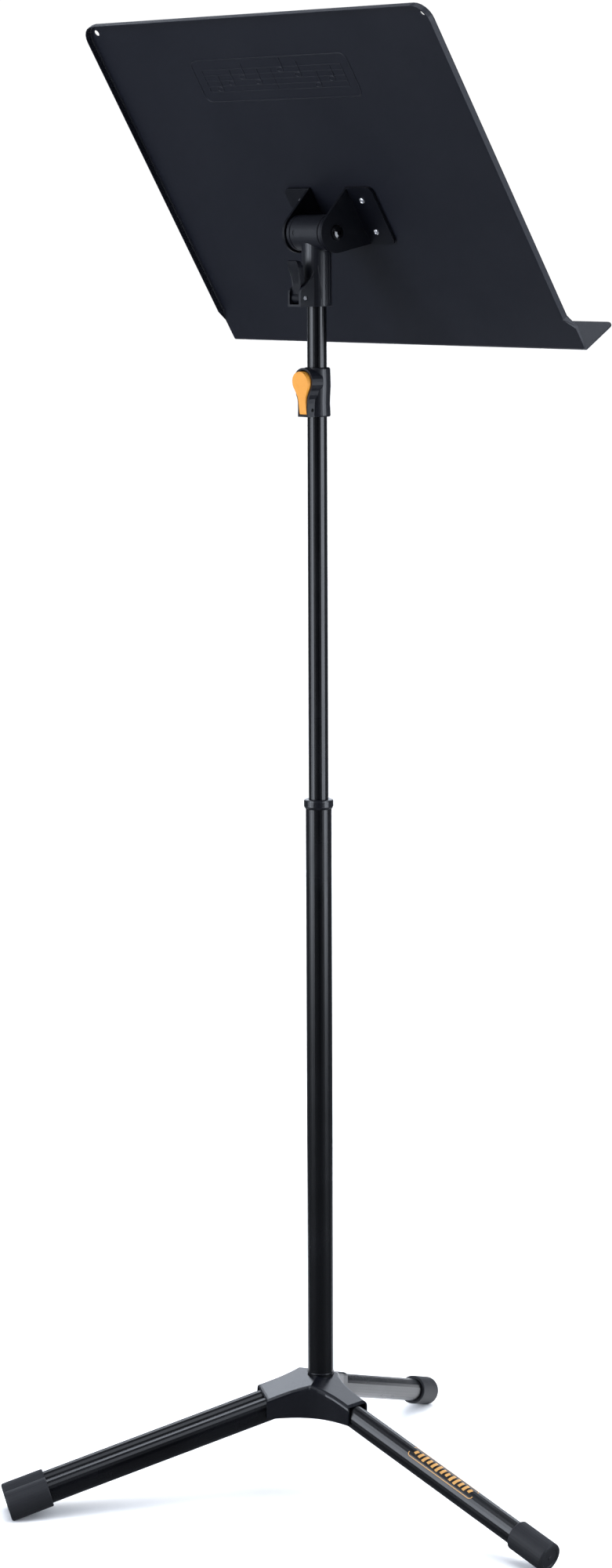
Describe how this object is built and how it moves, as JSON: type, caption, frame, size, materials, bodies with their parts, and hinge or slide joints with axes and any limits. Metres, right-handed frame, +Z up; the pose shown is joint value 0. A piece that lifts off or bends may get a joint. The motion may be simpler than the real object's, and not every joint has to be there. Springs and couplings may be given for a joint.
{
  "type": "music stand",
  "caption": "Orchestra music stand: wide sheet-metal desk on a tilting head, sliding post with a squeeze trigger, and a fixed bent-tube base with rubber feet.",
  "frame": {"origin": "centre of the footprint on the floor", "axes": "+Z up the post, -Y to the side where the musician stands, X along the tilt axis"},
  "size_m": [0.5516, 0.549, 1.428],
  "materials": {
    "black_plastic": "polished",
    "black_steel": "black oxide",
    "bright_steel": "bright zinc",
    "cap_rubber": "matte",
    "gloss_paint": "gloss enamel",
    "nylon": "natural",
    "powder_coat": "satin powder coat",
    "satin_plastic": "fine satin",
    "trigger_yellow": "satin"
  },
  "bodies": {
    "base": {"base_tube_left": "gloss_paint", "base_tube_rear": "gloss_paint", "foot_cap_main": "cap_rubber", "foot_cap_left": "cap_rubber", "foot_cap_rear": "cap_rubber", "hub_shell": "black_plastic", "hub_saddle": "bright_steel", "hub_clamp_plate": "bright_steel", "hub_bolt": "bright_steel", "post_plug": "bright_steel", "lower_tube": "gloss_paint", "post_collar": "black_plastic"},
    "post": {"upper_tube": "gloss_paint", "tube_end_plug": "satin_plastic", "trigger_housing": "satin_plastic", "trigger_pin": "bright_steel", "lock_body": "nylon", "lock_spring": "bright_steel"},
    "release": {"release_rod": "bright_steel", "lock_wedge": "bright_steel"},
    "shoe_front": {"lock_shoe_front": "nylon"},
    "shoe_back": {"lock_shoe_back": "nylon"},
    "trigger": {"height_trigger": "trigger_yellow"},
    "head": {"tilt_head": "satin_plastic", "lever_pin": "bright_steel", "pivot_bush": "bright_steel", "friction_disc_left": "satin_plastic", "friction_disc_right": "satin_plastic", "clamp_shoe": "nylon"},
    "lever": {"quick_release_lever": "black_plastic"},
    "desk": {"desk_panel": "powder_coat", "bracket_left": "powder_coat", "bracket_right": "powder_coat", "rivet_1": "bright_steel", "rivet_2": "bright_steel", "rivet_3": "bright_steel", "rivet_4": "bright_steel", "pivot_bolt": "black_steel", "nut_washer": "bright_steel", "pivot_nut": "bright_steel"}
  },
  "joints": [
    {"name": "height_slide", "type": "slide", "parent": "base", "child": "post", "axis": [0, 0, 1], "range_m": [-0.366, 0.1]},
    {"name": "trigger_squeeze", "type": "hinge", "parent": "post", "child": "trigger", "pos_m": [0.02533, 0.0121, 1.048], "axis": [1, 0, 0], "range_deg": [0, 9]},
    {"name": "rod_slide", "type": "slide", "parent": "post", "child": "release", "axis": [0, 0, -1], "range_m": [0, 0.002], "stiffness_N_per_m": 1200, "springref_m": -0.004, "deforming": ["lock_spring"]},
    {"name": "shoe_front_slide", "type": "slide", "parent": "post", "child": "shoe_front", "axis": [0, 1, 0], "range_m": [0, 0.0006]},
    {"name": "shoe_back_slide", "type": "slide", "parent": "post", "child": "shoe_back", "axis": [0, -1, 0], "range_m": [0, 0.0006]},
    {"name": "head_swivel", "type": "hinge", "parent": "post", "child": "head", "pos_m": [0.02533, -0.0008, 1.148], "axis": [0, 0, 1], "continuous": true},
    {"name": "lever_swing", "type": "hinge", "parent": "head", "child": "lever", "pos_m": [0.02533, 0.0219, 1.1563], "axis": [-1, 0, 0], "range_deg": [0, 80]},
    {"name": "desk_tilt", "type": "hinge", "parent": "head", "child": "desk", "pos_m": [0.02533, -0.0008, 1.2191], "axis": [1, 0, 0], "range_deg": [-58, 35]}
  ],
  "couplings": [
    {"joint": "trigger_squeeze", "follows": "rod_slide", "rad_per_m": 77.5},
    {"joint": "shoe_front_slide", "follows": "rod_slide", "ratio": 0.243},
    {"joint": "shoe_back_slide", "follows": "rod_slide", "ratio": 0.243}
  ]
}
